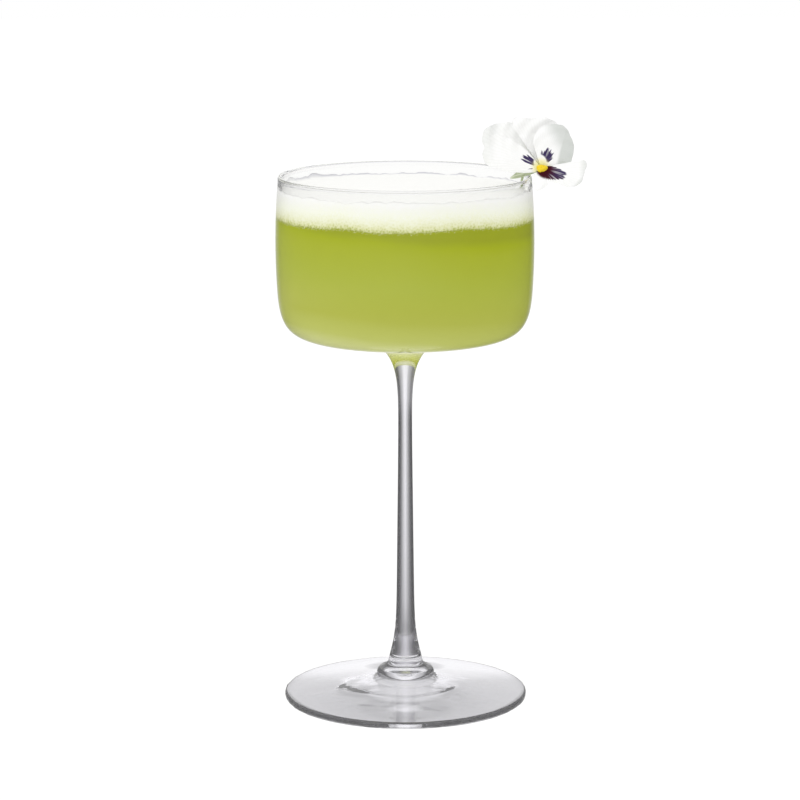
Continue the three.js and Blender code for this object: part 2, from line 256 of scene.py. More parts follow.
# The tool left a ring below, deepest at the left, where it also strays outwards. Angles are
# degrees anticlockwise from the right, seen from above.
MARK_RADIUS = 17.6
MARK_WIDTH = 1.3
MARK_DEPTH = 0.06
LEFT_MARK_AT = 204
LEFT_MARK_SPAN = 22
LEFT_MARK_DEPTH = 0.3
LEFT_MARK_STRAY = 3.0
LEFT_MARK_WIDENING = 1.1
RIGHT_MARK_AT = 317
RIGHT_MARK_SPAN = 18
RIGHT_MARK_DEPTH = 0.08
# Hot spinning left slow waves, which are calm at the middle, the edge and the button.
WAVE = 0.036
TOP_WAVE_SHARE = 0.5
TOP_WAVES_ASIDE = 40
CALM_MIDDLE = 5.0
CALM_EDGE = 4.0
CALM_BUTTON = 3.0
EDGE_WAVE = 0.17
EDGE_WAVE_SIZE = 4.5
EDGE_RIPPLE = 0.12
EDGE_RIPPLE_SIZE = 1.5


def slow_waves(x, y):
    """Waves about 9 mm by 6 mm, from -1 to 1 or so, with finer ones of 3 mm by 2 mm on them. The
    third numbers only choose which waves."""
    return noise.noise(Vector((x / 9, y / 6, 0.4))) + 0.3 * noise.noise(Vector((x / 3, y / 2, 8.2)))


def spun_by_hand(index, turn):
    """How far the foot's profile stands out and up from the true round."""
    radius = foot_profile[index][0]
    x, y, _ = ring_point(radius, turn)
    if index < edge_start:
        left = hump(math.degrees(turn), LEFT_MARK_AT, LEFT_MARK_SPAN)
        right = hump(math.degrees(turn), RIGHT_MARK_AT, RIGHT_MARK_SPAN)
        depth = MARK_DEPTH + LEFT_MARK_DEPTH * left + RIGHT_MARK_DEPTH * right
        width = MARK_WIDTH + LEFT_MARK_WIDENING * left
        mark = depth * hump(radius, MARK_RADIUS + LEFT_MARK_STRAY * left, width)
        frontward = 0.5 - 0.5 * math.sin(turn)
        calm = max(0.0, min(1.0, radius / CALM_MIDDLE, (ring_inner - radius) / CALM_EDGE))
        return 0.0, mark * frontward + calm * WAVE * slow_waves(x, y)
    if index < edge_end:
        at = Vector((x, y, 3.0))
        wave = EDGE_WAVE * noise.noise(at / EDGE_WAVE_SIZE)
        return wave + EDGE_RIPPLE * noise.noise(at / EDGE_RIPPLE_SIZE), 0.0
    if index < plate_end:
        calm = max(0.0, min(1.0, (ring_outer - radius) / CALM_EDGE, (radius - BUTTON_RADIUS) / CALM_BUTTON))
        return 0.0, calm * TOP_WAVE_SHARE * WAVE * slow_waves(x + TOP_WAVES_ASIDE, y)
    return 0.0, 0.0


foot_joint = {len(foot_profile) - 2: 1}
foot = turned("foot_glass", foot_profile, FOOT_SEGMENTS, [worn_glass, fused_joint], foot_joint, spun_by_hand)
let_light_in(put(foot, "foot", "glass"))


# Stem
# A rod of the same glass, drawn out while hot, so that it is thinnest above its middle and
# flares smoothly into the bowl. It is fused to the foot's button at its lower end.

STEM_LENGTH = 106.6
SHAFT_RADIUS_LOW = 3.1
SHAFT_RADIUS_HIGH = 1.85
STEM_HEAD_RADIUS = 13.2
END_FLARE = 7.4
END_FLARE_POWER = 1.4
HEAD_FLARE = 5.2
STEM_STEPS = 120
STEM_SEGMENTS = 96
STEM_TOP = BUTTON_HEIGHT + STEM_LENGTH


def stem_radius(height):
    above_button = height - BUTTON_HEIGHT
    shaft = SHAFT_RADIUS_LOW + (SHAFT_RADIUS_HIGH - SHAFT_RADIUS_LOW) * above_button / STEM_LENGTH
    end_share = math.exp(-((above_button / END_FLARE) ** END_FLARE_POWER))
    head_share = math.exp(-(STEM_TOP - height) / HEAD_FLARE)
    end_flare = (STEM_END_RADIUS - SHAFT_RADIUS_LOW) * end_share
    return shaft + end_flare + (STEM_HEAD_RADIUS - SHAFT_RADIUS_HIGH) * head_share


stem_profile = [(0.0, BUTTON_HEIGHT)]
# Steps crowd together towards both ends, where the stem flares.
for step in range(STEM_STEPS + 1):
    height = BUTTON_HEIGHT + STEM_LENGTH * (1 - math.cos(math.pi * step / STEM_STEPS)) / 2
    stem_profile.append((stem_radius(height), height))
stem_profile.append((0.0, STEM_TOP))
stem_joints = {0: 1, len(stem_profile) - 2: 1}
stem = turned("stem_glass", stem_profile, STEM_SEGMENTS, [worn_glass, fused_joint], stem_joints)
let_light_in(put(stem, "stem", "glass"))


# Bowl
# Blown glass with a flat bottom, a tight corner and a nearly upright wall that draws in a
# little at the lip. The lip was cut and fire polished, which left it half round, just over
# 1 mm thick and with a slight bead outside and a sharper one inside.

BOWL_HEIGHT = 51.8
RIM_RADIUS = 40.0
BELLY_RADIUS = 41.05
BELLY_BELOW_RIM = 22.0
CORNER_REACH = 14.5
CORNER_RISE = 15.0
CORNER_FULLNESS = 0.75
LIP_WALL = 1.1
BEAD = 0.09
BEAD_HALF = 0.5
BEAD_BELOW_RIM = 1.0
INNER_BEAD = 0.176
INNER_BEAD_HALF = 0.112
INNER_BEAD_BELOW_RIM = 0.95
INNER_BEAD_AT_SIDES = 0.4
BELLY_WALL = 1.4
FLOOR = 2.2
CORNER_STEPS = 32
WALL_STEPS = 80
LIP_STEPS = 16
BOWL_SEGMENTS = 400
RIM_TOP = STEM_TOP + BOWL_HEIGHT
inner_belly = BELLY_RADIUS - BELLY_WALL
inner_rim = RIM_RADIUS - LIP_WALL
inner_floor = STEM_TOP + FLOOR


def wall_radius(belly, rim, height):
    share = (height - (RIM_TOP - BELLY_BELOW_RIM)) / BELLY_BELOW_RIM
    return belly - (belly - rim) * share**2


def inner_wall(height):
    return wall_radius(inner_belly, inner_rim, height)


def bowl_face(belly, rim, floor, top):
    """One face of the bowl, from the edge of its flat floor, round the corner and up the wall."""
    corner_top = floor + CORNER_RISE
    corner_radius = wall_radius(belly, rim, corner_top)
    flat_radius = corner_radius - CORNER_REACH
    handle = corner_top - CORNER_FULLNESS * CORNER_RISE
    lean = 2 * (belly - rim) * (RIM_TOP - BELLY_BELOW_RIM - corner_top) / BELLY_BELOW_RIM**2
    held = [
        (flat_radius, floor),
        (flat_radius + CORNER_FULLNESS * CORNER_REACH, floor),
        (corner_radius - lean * (corner_top - handle), handle),
        (corner_radius, corner_top),
    ]
    face = curve(held, CORNER_STEPS)
    # Steps crowd together towards the top, where the lip has its beads.
    for step in range(1, WALL_STEPS + 1):
        height = corner_top + (top - corner_top) * (1 - (1 - step / WALL_STEPS) ** 3)
        face.append((wall_radius(belly, rim, height), height))
    return face


lip_seat = RIM_TOP - LIP_WALL / 2
outer_face = [
    (radius + BEAD * hump(height, RIM_TOP - BEAD_BELOW_RIM, BEAD_HALF), height)
    for radius, height in bowl_face(BELLY_RADIUS, RIM_RADIUS, STEM_TOP, lip_seat)
]
inner_face = bowl_face(inner_belly, inner_rim, inner_floor, lip_seat)
lip_middle = (outer_face[-1][0] + inner_face[-1][0]) / 2
lip_reach = (outer_face[-1][0] - inner_face[-1][0]) / 2
lip = []
for step in range(1, LIP_STEPS):
    turn = math.pi * step / LIP_STEPS
    lip.append((lip_middle + lip_reach * math.cos(turn), lip_seat + LIP_WALL / 2 * math.sin(turn)))
bowl_profile = [(0.0, STEM_TOP), (STEM_HEAD_RADIUS, STEM_TOP)] + outer_face + lip + inner_face[::-1]
bowl_profile.append((0.0, inner_floor))
lip_start = 1 + len(outer_face)
lip_end = lip_start + len(lip) + 1


def fire_polished(index, turn):
    """The bead inside the lip, which is sharp in front and fades away to the back."""
    if index < lip_end:
        return 0.0, 0.0
    backward = min(INNER_BEAD_AT_SIDES, math.sin(turn))
    share = INNER_BEAD_AT_SIDES - (1 - INNER_BEAD_AT_SIDES) * backward
    bead = hump(bowl_profile[index][1], RIM_TOP - INNER_BEAD_BELOW_RIM, INNER_BEAD_HALF)
    return -INNER_BEAD * share * bead, 0.0


# A fire-polished lip: the flame left its round top a little wavy, so it blurs what is behind.
lip_glass = clear_glass("fire_polished_lip", "f6f6fa", 0.0, 0.08, 0.14)
bowl_glasses = [blown_glass, fused_joint, lip_glass]
bowl_spans = {0: 1} | {span: 2 for span in range(lip_start, lip_end)}
bowl = turned("bowl_glass", bowl_profile, BOWL_SEGMENTS, bowl_glasses, bowl_spans, fire_polished)
let_light_in(put(bowl, "bowl", "glass"))


# Drink
# A shaken drink, cloudy green with fruit juice and fine air, that wets the glass all round.
# It reaches a hair into the wall, so that no film of air shows between the two, and stands
# up into the foam's lower fringe.

FOAM_BELOW_RIM = 4.4
FOAM_DEPTH = 9.8
WETTING = 0.05
JUICE_RISE = 2.4
PULP_DRIFT = 2.0
RIGHT_SHADE_LEAN = 0.07
DRINK_SEGMENTS = 192
FOAM_TOP = RIM_TOP - FOAM_BELOW_RIM
DRINK_TOP = FOAM_TOP - FOAM_DEPTH


def off_axis(tree, place):
    """How far a place lies from the stem's axis, in metres."""
    level = add_node(tree, "VectorMath", {0: place, 1: (1.0, 1.0, 0.0)}, operation="MULTIPLY")
    reach = add_node(tree, "VectorMath", {0: level.outputs["Vector"]}, operation="LENGTH")
    return reach.outputs["Value"]


# Cloudy juice: light scatters inside it, so its colour is soft and even. It is painted with light
# and shade: darkest just under the foam, which shades it, darker to the right, away from the lamp,
# and paler below, where the white table lights it and a little fine pulp has settled. The bands
# waver in drifts of about 22 mm.
cloudy_juice, tree = new_material("cloudy_juice")
place = add_node(tree, "TexCoord").outputs["Object"]
axes = add_node(tree, "SeparateXYZ", {"Vector": place}).outputs
drift = add_node(tree, "TexNoise", {"Vector": place, "Scale": 1 / (22 * MM), "Detail": 3.0})
drifting = add_node(
    tree, "Math", {0: drift.outputs["Fac"], 1: PULP_DRIFT * MM, 2: axes["Z"]}, operation="MULTIPLY_ADD"
)
# Painted shade: the bands lean so that the right side, away from the lamp, is darker.
leaning = add_node(
    tree, "Math", {0: axes["X"], 1: RIGHT_SHADE_LEAN, 2: drifting.outputs["Value"]}, operation="MULTIPLY_ADD"
)
depth = add_node(
    tree,
    "MapRange",
    {"Value": leaning.outputs["Value"], "From Min": (STEM_TOP + 1) * MM, "From Max": (DRINK_TOP + 1) * MM},
)
juice_with_painted_light = add_node(
    tree,
    "ValToRGB",
    {"Fac": depth.outputs["Result"]},
    [
        (0.0, linear("f2f4c0")), (0.05, linear("dade9a")), (0.14, linear("c5cb6e")), (0.3, linear("b7bd54")),
        (0.6, linear("aeb840")), (0.86, linear("aab42c")), (0.93, linear("a6b11c")), (0.99, linear("9ba420")),
    ],
)
# Its underside is painted deep green in the middle, as in shade, and pale at the back, as painted
# light coming in there.
under = add_node(
    tree,
    "MapRange",
    {"Value": off_axis(tree, place), "From Min": 22 * MM, "From Max": 27 * MM, "To Min": 1.0, "To Max": 0.0},
)
backward = add_node(tree, "MapRange", {"Value": axes["Y"], "From Min": -20 * MM, "From Max": 25 * MM})
underside_painted_light = add_node(
    tree,
    "ValToRGB",
    {"Fac": backward.outputs["Result"]},
    [
        (0.1, linear("86990e")), (0.36, linear("aab32c")), (0.5, linear("c2c74e")), (0.66, linear("dadf84")),
        (1.0, linear("f4f6cc")),
    ],
)
juice = add_node(
    tree,
    "Mix",
    {"Factor": under.outputs["Result"], "A": juice_with_painted_light.outputs["Color"], "B": underside_painted_light.outputs["Color"]},
    data_type="RGBA",
)
surface = add_node(
    tree,
    "BsdfPrincipled",
    {"Base Color": juice.outputs["Result"], "Roughness": 0.35, "IOR": 1.36, "Specular IOR Level": 0.0},
)
add_node(tree, "OutputMaterial", {"Surface": surface.outputs["BSDF"]})

juice_top = DRINK_TOP + JUICE_RISE
juice_floor = inner_floor - WETTING
drink_profile = [(0.0, juice_floor)]
drink_profile += bowl_face(inner_belly + WETTING, inner_rim + WETTING, juice_floor, juice_top)
drink_profile.append((0.0, juice_top))
drink = turned("drink_juice", drink_profile, DRINK_SEGMENTS, [cloudy_juice])
put(drink, "drink", "glass")


# Foam
# A head of fine wet foam on the drink. Its top is level but not quite smooth, it climbs the
# wall unevenly, and its lower edge is a fringe of small bubbles against the green.

FOAM_RINGS = 44
FOAM_SEGMENTS = 900
SIDE_STEPS = 14
FOAM_INTO_WALL = 1.6 * WETTING
CLIMB_REACH = 0.55
# The foam's base stands over the drink, higher to the left and in front. Its humps are an
# angle and its span in degrees, and the rise.
BASE_RISE = 0.9
BASE_LEAN = 0.2
FRONT_RISE = 0.1
BASE_HUMPS = ((240, 13, 0.6), (296, 17, 1.0))
# The edge that clings to the wall stands over the top, and climbs most at one angle.
CLING_RISE = 0.45
CLING_LEAN = 0.1
CLING_CLIMB = 1.2
CLIMB_AT = 2.7
CLIMB_SPAN = 0.5
# Ripples of each edge: their size in mm, a number that only chooses which, and their height.
BASE_RIPPLES = ((9.0, 7.9, 0.2),)
FRINGE_RIPPLES = ((0.5, 3.1, 0.3), (1.3, 5.3, 0.3))
CLING_RIPPLES = ((6.0, 1.3, 0.8), (2.2, 9.7, 0.5))


def ripple(angle, rows):
    """A smooth uneven rise and fall round the wall."""
    at = Vector(ring_point(1.0, angle)) * RIM_RADIUS
    return sum(rise * noise.noise(at / size + Vector((seed, seed * 1.7, 0.0))) for size, seed, rise in rows)


def foam_base(angle):
    """Where the foam ends in the drink, without its fringe."""
    front = max(0.0, -math.sin(angle))
    level = DRINK_TOP + BASE_RISE - BASE_LEAN * math.cos(angle) + FRONT_RISE * front**2
    humps = sum(rise * hump(math.degrees(angle), at, span) for at, span, rise in BASE_HUMPS)
    return level + ripple(angle, BASE_RIPPLES) + humps


def foam_side(angle, share):
    """The foam's side from its lower fringe at 0 to where it clings to the wall at 1. The head
    climbs highest at the left of the back."""
    fringe = foam_base(angle) + ripple(angle, FRINGE_RIPPLES)
    cling = FOAM_TOP + CLING_RISE - CLING_LEAN * math.sin(angle) + ripple(angle, CLING_RIPPLES)
    cling += CLING_CLIMB * hump(angle, CLIMB_AT, CLIMB_SPAN)
    return fringe + (cling - fringe) * share


def foam_film_and_shadow(angle, inward):
    """How grey the foam is painted at its clinging edge, most of all at the back: the thin wet film
    there and a painted shadow line along the edge.
    """
    back = max(0.0, math.sin(angle))
    return back**0.5 * hump(inward, 0.0, 0.25 + 0.35 * back)


def mark_points(piece, name, values):
    """Gives each corner of a piece a value that its material reads."""
    piece.data.attributes.new(name, "FLOAT", "POINT").data.foreach_set("value", values)


def close_rings(faces, first, rings, last, segments):
    """Adds the faces of a closed round form: a first corner, rings of corners and a last one."""
    for k in range(segments):
        n = (k + 1) % segments
        faces.append((first, rings[0] + n, rings[0] + k))
        for low, high in zip(rings, rings[1:]):
            faces.append((low + k, low + n, high + n, high + k))
        faces.append((rings[-1] + k, rings[-1] + n, last))


corners, faces, films_and_shadows, drained = [(0.0, 0.0, DRINK_TOP + 0.2)], [], [0.0], [0.0]
rings = []
for step in range(SIDE_STEPS + 1):
    rings.append(len(corners))
    for turn in turns(FOAM_SEGMENTS):
        height = foam_side(turn, step / SIDE_STEPS)
        corners.append(ring_point(inner_wall(height) + FOAM_INTO_WALL, turn, height))
        films_and_shadows.append(foam_film_and_shadow(turn, foam_side(turn, 1.0) - height))
        drained.append(height - foam_base(turn))
wall = inner_wall(FOAM_TOP)
for step in range(1, FOAM_RINGS):
    # Rings crowd together towards the wall, where the foam climbs.
    reach = wall * (1 - (step / FOAM_RINGS) ** 1.6)
    rings.append(len(corners))
    for turn in turns(FOAM_SEGMENTS):
        x, y, _ = ring_point(reach, turn)
        climb = (foam_side(turn, 1.0) - FOAM_TOP) * math.exp(-(wall - reach) / CLIMB_REACH)
        texture = 0.06 * noise.noise(Vector((x, y, 0)) / 5) + 0.02 * noise.noise(Vector((x, y, 4)) / 1.1)
        corners.append((x, y, FOAM_TOP + climb + texture))
        films_and_shadows.append(foam_film_and_shadow(turn, wall - reach))
        drained.append(FOAM_DEPTH)
close_rings(faces, 0, rings, len(corners), FOAM_SEGMENTS)
corners.append((0.0, 0.0, FOAM_TOP))
films_and_shadows.append(0.0)
drained.append(FOAM_DEPTH)

# Loose bubbles hang along the fringe, fewer lower down. Each step spreads one of their
# measures evenly but in no order.
BUBBLES = 900
BUBBLE_SIDES = 8
BUBBLE_RINGS = 3
BUBBLE_LEAST = 0.1
BUBBLE_SPREAD = 0.14
BUBBLE_FALL = 0.7
TURN_STEP = 0.6180339887
SIZE_STEP = 0.5698402910
FALL_STEP = 0.7548776662
DRAIN_STEP = 0.3819660113


def scatter(k, step):
    """The kth of a row of numbers from 0 to 1."""
    return (k * step) % 1.0


def add_bubble(middle, size):
    """Adds a small ball to the foam and returns how many corners it has."""
    first = len(corners)
    corners.append(middle - Vector((0, 0, size)))
    for ring in range(1, BUBBLE_RINGS + 1):
        tilt = math.pi * ring / (BUBBLE_RINGS + 1)
        for side in turns(BUBBLE_SIDES):
            corners.append(middle + Vector(ring_point(size * math.sin(tilt), side, -size * math.cos(tilt))))
    starts = [first + 1 + BUBBLE_SIDES * ring for ring in range(BUBBLE_RINGS)]
    close_rings(faces, first, starts, len(corners), BUBBLE_SIDES)
    corners.append(middle + Vector((0, 0, size)))
    return len(corners) - first


for k in range(BUBBLES):
    turn = 2 * math.pi * scatter(k, TURN_STEP)
    size = BUBBLE_LEAST + BUBBLE_SPREAD * scatter(k, SIZE_STEP)
    height = foam_side(turn, 0.0) + 0.2 - BUBBLE_FALL * scatter(k, FALL_STEP) ** 1.5
    count = add_bubble(Vector(ring_point(inner_wall(height) + WETTING - 0.5 * size, turn, height)), size)
    films_and_shadows += [0.0] * count
    drained += [0.1 + 0.6 * scatter(k, DRAIN_STEP)] * count


# Egg-white foam: bubbles finer than half a millimetre scatter all light, so it is matt white.
# Where it drains into the drink the bubbles grow to about 0.7 mm and the green shows through,
# in patches of about 4 mm.
egg_white_foam, tree = new_material("egg_white_foam")
place = add_node(tree, "TexCoord").outputs["Object"]
drain = add_node(tree, "Attribute", attribute_name="drained")
bubbles = add_node(tree, "TexVoronoi", {"Vector": place, "Scale": 1 / (0.7 * MM)}).outputs["Distance"]
patches = add_node(tree, "TexNoise", {"Vector": place, "Scale": 1 / (4 * MM), "Detail": 3.0})
lifted = add_node(tree, "Math", {0: bubbles, 1: 1.8, 2: drain.outputs["Fac"]}, operation="MULTIPLY_ADD")
patchy = add_node(
    tree, "Math", {0: patches.outputs["Fac"], 1: -1.5, 2: lifted.outputs["Value"]}, operation="MULTIPLY_ADD"
)
dryness = add_node(tree, "MapRange", {"Value": patchy.outputs["Value"], "From Max": FOAM_DEPTH})
whitened = add_node(
    tree,
    "ValToRGB",
    {"Fac": dryness.outputs["Result"]},
    [
        (0.0, linear("b4ba5e")), (0.06, linear("ced28d")), (0.12, linear("e0e2ad")), (0.19, linear("eaecc3")),
        (0.31, linear("f4f6d9")), (0.5, linear("fafceb")), (0.9, linear("fdfdfa")),
    ],
)
# The grey at the clinging edge is the thin wet film there with a painted shadow line along it.
film = add_node(tree, "Attribute", attribute_name="film")
filmed = add_node(
    tree,
    "Mix",
    {"Factor": film.outputs["Fac"], "A": whitened.outputs["Color"], "B": linear("c9c9d0")},
    data_type="RGBA",
)
pits = add_node(tree, "Bump", {"Height": bubbles, "Strength": 0.15, "Distance": 0.2 * MM})
surface = add_node(
    tree,
    "BsdfPrincipled",
    {
        "Base Color": filmed.outputs["Result"],
        "Roughness": 0.6,
        "IOR": 1.34,
        "Specular IOR Level": 0.2,
        "Normal": pits.outputs["Normal"],
    },
)
add_node(tree, "OutputMaterial", {"Surface": surface.outputs["BSDF"]})
foam = mesh_piece("foam", corners, faces, [egg_white_foam])
mark_points(foam, "film", films_and_shadows)
mark_points(foam, "drained", drained)
put(foam, "foam_head", "glass")


# Petals
# Five petals of a white viola, thin and slightly ruffled: two at the back, two at the sides
# and the lip in front, each on a narrow claw at the receptacle. The side petals and the lip
# carry dark blotches that run out into fingers along the veins.

FACE = Vector((RIM_RADIUS + 2.8, -3.0, RIM_TOP + 2.75))
FACE_TILT = 8.0
RECEPTACLE_RADIUS = 1.0
CLEARANCE = 0.3
PETAL_ROOM = 0.45
PETAL_SPACING = PETAL_ROOM + 1.3 * CLEARANCE
PETAL_THICKNESS = 0.3
PETAL_ROWS = 72
PETAL_COLUMNS = 132
CLAW_RADIUS = 0.4
# How many veins and blotch fingers there would be all round the eye.
VEINS_ROUND = 95
FINGERS_ROUND = 60
VEIN_SWAY = 0.8
FRAY = 0.25
face_turn = Matrix.Translation(FACE) @ Matrix.Rotation(math.radians(90 - FACE_TILT), 4, "X")


def ease(value, low, high):
    """Rises smoothly from 0 at low to 1 at high."""
    share = min(1.0, max(0.0, (value - low) / (high - low)))
    return share * share * (3 - 2 * share)


def smooth_line(points, steps):
    """A smooth line through the points, with the given steps between each two."""
    points = [Vector(p) for p in points]
    ends = [2 * points[0] - points[1]] + points + [2 * points[-1] - points[-2]]
    line = []
    for k in range(1, len(ends) - 2):
        a, b, c, d = ends[k - 1 : k + 3]
        for step in range(steps):
            t = step / steps
            square = (2 * a - 5 * b + 4 * c - d) * t**2
            line.append((2 * b + (c - a) * t + square + (3 * b - a - 3 * c + d) * t**3) / 2)
    return line + [points[-1]]


def sheet(name, rows, columns, point, material, marks):
    """A thin closed sheet. point gives a corner from its row, column and side, and the values
    that the material reads from it, in the order of marks."""
    corners, values = [], []
    for side in (-1, 1):
        for row in range(rows + 1):
            for column in range(columns + 1):
                corner, value = point(row, column, side)
                corners.append(face_turn @ corner)
                values.append(value)
    faces = []
    front = (rows + 1) * (columns + 1)

    def at(row, column):
        return row * (columns + 1) + column

    def close_edge(a, b, flip):
        faces.append((front + a, a, b, front + b) if flip else (a, front + a, front + b, b))

    for row in range(rows):
        for column in range(columns):
            quad = (at(row, column), at(row, column + 1), at(row + 1, column + 1), at(row + 1, column))
            faces.append(tuple(front + k for k in quad))
            faces.append(quad[::-1])
        close_edge(at(row, 0), at(row + 1, 0), False)
        close_edge(at(row, columns), at(row + 1, columns), True)
    for column in range(columns):
        close_edge(at(0, column), at(0, column + 1), True)
        close_edge(at(rows, column), at(rows, column + 1), False)
    piece = mesh_piece(name, corners, faces, [material])
    for k, mark in enumerate(marks):
        mark_points(piece, mark, [value[k] for value in values])
    return piece


def level_at(points, angle):
    """The value at an angle, straight between (angle, value) points that run clockwise."""
    for (before, low), (after, high) in zip(points, points[1:]):
        if after <= angle <= before:
            return low + (high - low) * (before - angle) / (before - after)
    return 0.0


PETAL_MARKS = ("blotch", "maroon", "throat", "vein", "shade")


def petal_marks(petal, angle, away):
    """How dark and how maroon the blotch is, how yellow the throat, how raised the vein and
    how much painted shade the petal gets where it turns from the light, at an angle round the eye and
    a distance from it."""
    blotch = 0.0
    if "blotch" in petal:
        fray = FRAY * math.cos(math.radians(angle) * FINGERS_ROUND)
        blotch = ease(level_at(petal["blotch"], angle) + fray - away, -0.1, 0.5)
        blotch *= ease(away - level_at(petal["blotch_start"], angle), -0.25, 0.3)
        streak = ease(noise.noise(Vector((angle * 0.24, away * 0.12, petal["tips"]))), 0.0, 0.45)
        blotch *= 1 - petal["streaks"] * streak * ease(away, 2.8, 5.0)
    maroon = max(ease(-angle, 15, 60), ease(-away, -6.5, -2.4)) if petal.get("maroon") else 0.0
    throat = petal.get("throat", 0.8) * ease(-away, -3.6, -1.3)
    sway = VEIN_SWAY * math.sin(away * 0.7)
    vein = (0.5 + 0.5 * math.cos(math.radians(angle) * VEINS_ROUND + sway)) ** 4
    shade = 0.0
    for direction, low, high, amount in petal.get("shades", ()):
        reach = away * math.cos(math.radians(angle - direction))
        shade = max(shade, amount * ease(reach, low, high))
    return blotch, maroon, throat, vein * ease(away, 2.0, 5.0), shade


def petal_piece(name, petal):
    """A petal from its margin, given as angles round the eye, clockwise, and distances from it."""
    margin = smooth_line(petal["margin"], PETAL_COLUMNS // (len(petal["margin"]) - 1))
    columns = len(margin) - 1

    def point(row, column, side):
        angle, reach = margin[column]
        share = row / PETAL_ROWS
        across = 2 * column / columns - 1
        reach *= 1 + 0.01 * math.sin(angle * 0.23) + 0.004 * math.sin(angle * 0.61 + 1)
        away = CLAW_RADIUS + (reach - CLAW_RADIUS) * share
        x, y, _ = ring_point(away, math.radians(angle))
        ahead = away * math.cos(math.radians(angle - petal["tips"]))
        ruffle = petal["ruffle"] * share**3 * math.sin(angle * 0.21 + 1.4 * away)
        ruffle += 2.2 * petal["ruffle"] * share * noise.noise(Vector((x * 0.22, y * 0.22, petal["tips"])))
        thin = PETAL_THICKNESS * (0.3 + 0.7 * min(1.0, 5 * (1 - abs(across)), 8 * (1 - share)))
        rise = petal["layer"] + petal["slope"] * ahead + petal["bend"] * ahead**2 + ruffle
        return Vector((x, y, rise + side * thin / 2)), petal_marks(petal, angle, away)

    return sheet(name, PETAL_ROWS, columns, point, viola_petal, PETAL_MARKS)


# Viola petal: a soft white leaf with painted grey shade in its folds, and fine veins fanning from
# the claw about 0.5 mm apart. The blotch is maroon at the throat and near-black violet beyond.
viola_petal, tree = new_material("viola_petal")
place = add_node(tree, "TexCoord").outputs["Object"]
marked = {name: add_node(tree, "Attribute", attribute_name=name).outputs["Fac"] for name in PETAL_MARKS}
flecks = add_node(tree, "TexNoise", {"Vector": place, "Scale": 1 / (4 * MM), "Detail": 3.0})
faint = add_node(tree, "Math", {0: marked["vein"], 1: 0.14}, operation="MULTIPLY")
stain = linear("463867")
for share, over in ((marked["vein"], linear("170d26")), (marked["maroon"], linear("450519"))):
    stain = add_node(tree, "Mix", {"Factor": share, "A": stain, "B": over}, data_type="RGBA").outputs["Result"]
leaf = linear("fcfcfa")
for share, over in (
    (flecks.outputs["Fac"], linear("ffffff")),
    (faint.outputs["Value"], linear("dfe2da")),
    # Painted shade in the folds and creases.
    (marked["shade"], linear("cfd3ce")),
    (marked["blotch"], stain),
    (marked["throat"], linear("faf3a0")),
):
    leaf = add_node(tree, "Mix", {"Factor": share, "A": leaf, "B": over}, data_type="RGBA").outputs["Result"]
ridge = add_node(tree, "Bump", {"Height": marked["vein"], "Strength": 0.2, "Distance": 0.1 * MM})
surface = add_node(
    tree,
    "BsdfPrincipled",
    {
        "Base Color": leaf,
        "Roughness": 0.55,
        "IOR": 1.4,
        "Specular IOR Level": 0.25,
        "Normal": ridge.outputs["Normal"],
    },
)
add_node(tree, "OutputMaterial", {"Surface": surface.outputs["BSDF"]})

